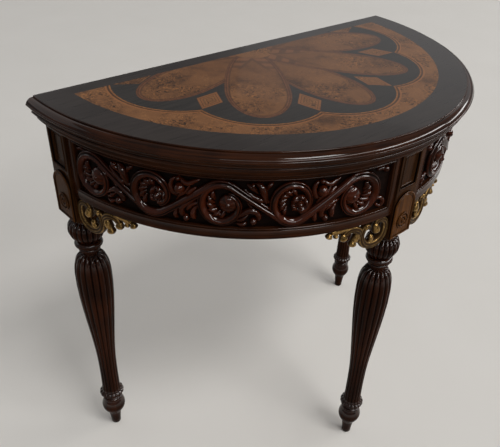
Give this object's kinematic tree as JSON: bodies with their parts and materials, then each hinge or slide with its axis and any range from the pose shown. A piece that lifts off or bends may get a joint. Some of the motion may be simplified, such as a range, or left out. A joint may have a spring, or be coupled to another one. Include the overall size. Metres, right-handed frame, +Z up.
{
  "type": "demilune table",
  "caption": "Half-round console table with fan marquetry top, carved scroll aprons, gilt brackets and reeded turned legs; stands with its straight back to a wall.",
  "frame": {"origin": "on the floor, under the middle of the table's box", "axes": "+Z up, +Y towards the wall behind the straight back edge, +X to the right of a viewer in front"},
  "size_m": [0.8822, 0.4631, 0.795],
  "materials": {
    "mahogany": "glossy lacquer over dark red-brown stain",
    "dark_border": "satin lacquer",
    "burl": "satin lacquer over figured burl",
    "light_band": "satin lacquer",
    "stringing": "satin lacquer",
    "ebonised": "satin lacquer",
    "gilt": "antique gold leaf with dark patina",
    "secondary_wood": "bare sawn wood, stained",
    "screw_steel": "plain steel"
  },
  "bodies": {
    "root": {"back_rail": "secondary_wood", "bed_moulding": "mahogany", "border_veneer": "dark_border", "burl_field_veneer": "burl", "centre_bearer": "secondary_wood", "fan_ground_veneer": "ebonised", "fan_stringing": "stringing", "front_left_bracket": "gilt", "front_leg": "mahogany", "front_leg_plaque": "mahogany", "front_leg_rosette": "mahogany", "front_right_bracket": "gilt", "hub_veneer": "burl", "left_apron": "mahogany", "left_back_glue_block": "secondary_wood", "left_corner_block": "secondary_wood", "left_frieze_carving": "mahogany", "left_frieze_frame": "mahogany", "left_front_glue_block": "secondary_wood", "left_leg": "mahogany", "left_leg_bracket": "gilt", "left_leg_plaque": "mahogany", "left_leg_rosette": "mahogany", "lozenge_bands": "light_band", "lozenge_panels": "burl", "petal_1_band": "light_band", "petal_1_panel": "burl", "petal_2_band": "light_band", "petal_2_panel": "burl", "petal_3_band": "light_band", "petal_3_panel": "burl", "petal_4_band": "light_band", "petal_4_panel": "burl", "petal_5_band": "light_band", "petal_5_panel": "burl", "right_apron": "mahogany", "right_back_glue_block": "secondary_wood", "right_corner_block": "secondary_wood", "right_frieze_carving": "mahogany", "right_frieze_frame": "mahogany", "right_front_glue_block": "secondary_wood", "right_leg": "mahogany", "right_leg_bracket": "gilt", "right_leg_plaque": "mahogany", "right_leg_rosette": "mahogany", "top_board": "secondary_wood", "top_edge_lipping": "mahogany", "top_screws": "screw_steel"}
  },
  "joints": []
}
